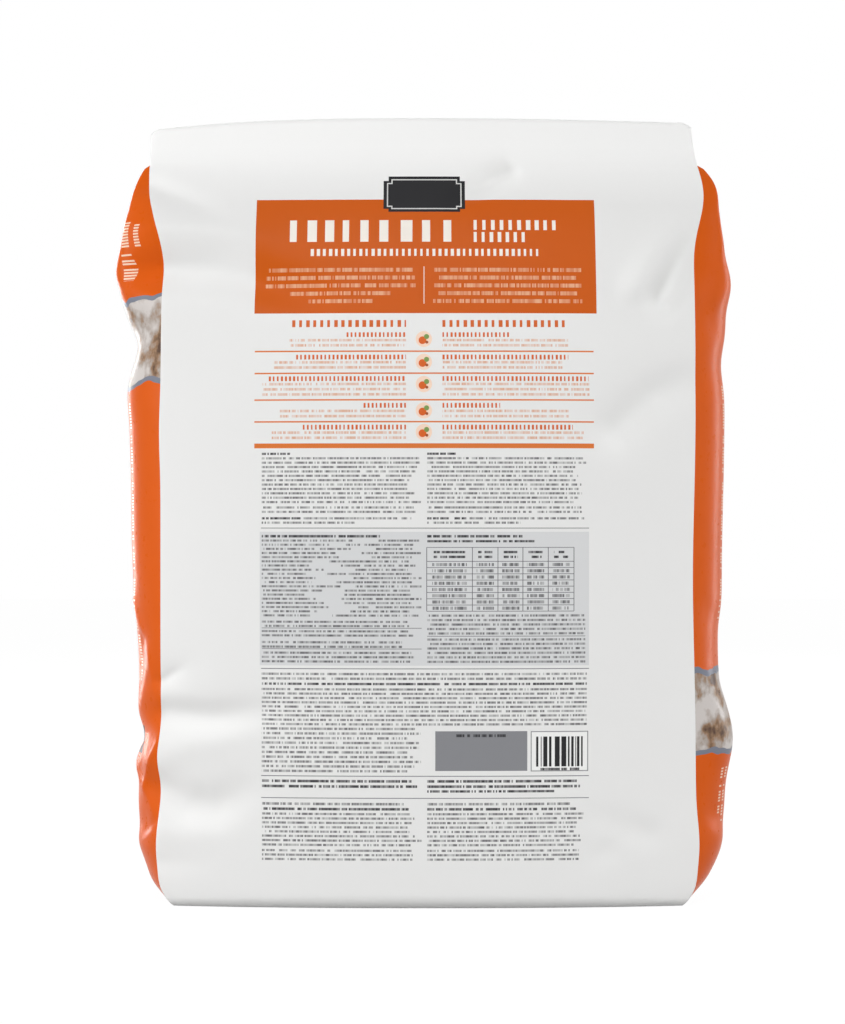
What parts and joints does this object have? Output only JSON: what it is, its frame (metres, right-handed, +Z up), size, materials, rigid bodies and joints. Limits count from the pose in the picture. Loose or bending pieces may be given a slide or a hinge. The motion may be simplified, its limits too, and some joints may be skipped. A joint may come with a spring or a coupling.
{
  "type": "pet food bag",
  "caption": "Filled side-gusset film bag of dry pet food, standing on its folded base, with a flat heat-sealed band along the top.",
  "frame": {"origin": "middle of the base, on the surface that the bag stands on", "axes": "+Z up to the seal, X across the panels, Y through the pack from the printed back panel (-Y) to the front panel (+Y)"},
  "size_m": [0.4236, 0.134, 0.536],
  "materials": {
    "film": "white laminated film with satin orange gussets and front"
  },
  "bodies": {
    "root": {"bag": "film"}
  },
  "joints": []
}
